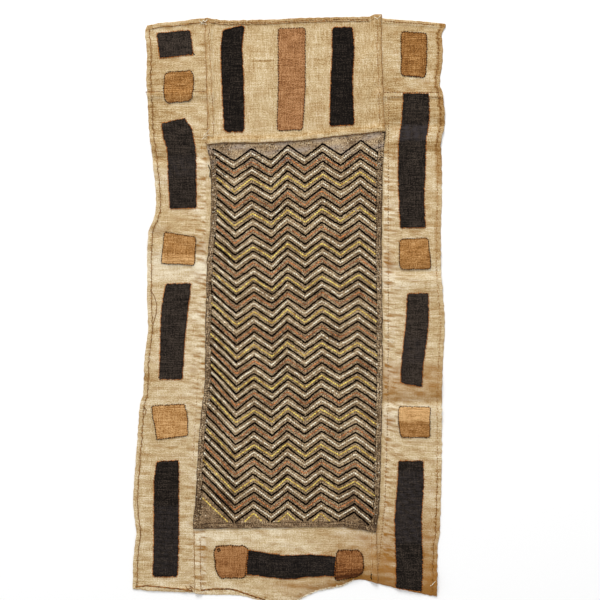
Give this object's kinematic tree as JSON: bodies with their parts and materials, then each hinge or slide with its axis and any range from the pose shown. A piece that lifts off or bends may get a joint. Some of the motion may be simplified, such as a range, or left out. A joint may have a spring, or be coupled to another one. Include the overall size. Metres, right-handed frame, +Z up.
{
  "type": "kuba raffia cloth",
  "caption": "Rectangular raffia cloth lying flat: an embroidered zigzag panel framed by plain raffia strips with dark and tan patches sewn on.",
  "frame": {"origin": "on the resting surface, under the middle of the cloth's box", "axes": "+Y along the cloth's length towards its top edge, +X to the right seen from above, +Z up out of the cloth's face"},
  "size_m": [0.6264, 1.176, 0.0091],
  "materials": {
    "raffia_plain": "natural undyed raffia, plain weave, matt with a slight sheen along the fibres",
    "raffia_top": "natural undyed raffia, finer plain weave, matt",
    "raffia_embroidered": "grey-brown raffia ground with stitched zigzag lines in black, cream, rust and yellow",
    "cloth_black": "black dyed raffia patch, matt, edges overcast with rust thread",
    "cloth_tan": "tan dyed raffia patch, matt, edges overcast with black thread",
    "cloth_rust": "rust dyed raffia patch, matt, edges overcast with black thread",
    "cloth_brown": "brown dyed raffia patch, matt, edges overcast with black thread"
  },
  "bodies": {
    "root": {"left_strip_upper": "raffia_plain", "left_strip_lower": "raffia_plain", "right_strip_upper": "raffia_plain", "right_strip_lower": "raffia_plain", "bottom_panel": "raffia_plain", "middle_panel": "raffia_embroidered", "top_panel": "raffia_top", "left_patch_1": "cloth_black", "left_patch_2": "cloth_tan", "left_patch_3": "cloth_black", "left_patch_4": "cloth_tan", "left_patch_5": "cloth_black", "left_patch_6": "cloth_tan", "left_patch_7": "cloth_black", "right_patch_1": "cloth_tan", "right_patch_2": "cloth_black", "right_patch_3": "cloth_tan", "right_patch_4": "cloth_black", "right_patch_5": "cloth_tan", "right_patch_6": "cloth_black", "top_patch_1": "cloth_black", "top_patch_2": "cloth_rust", "top_patch_3": "cloth_black", "bottom_patch_1": "cloth_brown", "bottom_patch_2": "cloth_black", "bottom_patch_3": "cloth_brown"}
  },
  "joints": []
}
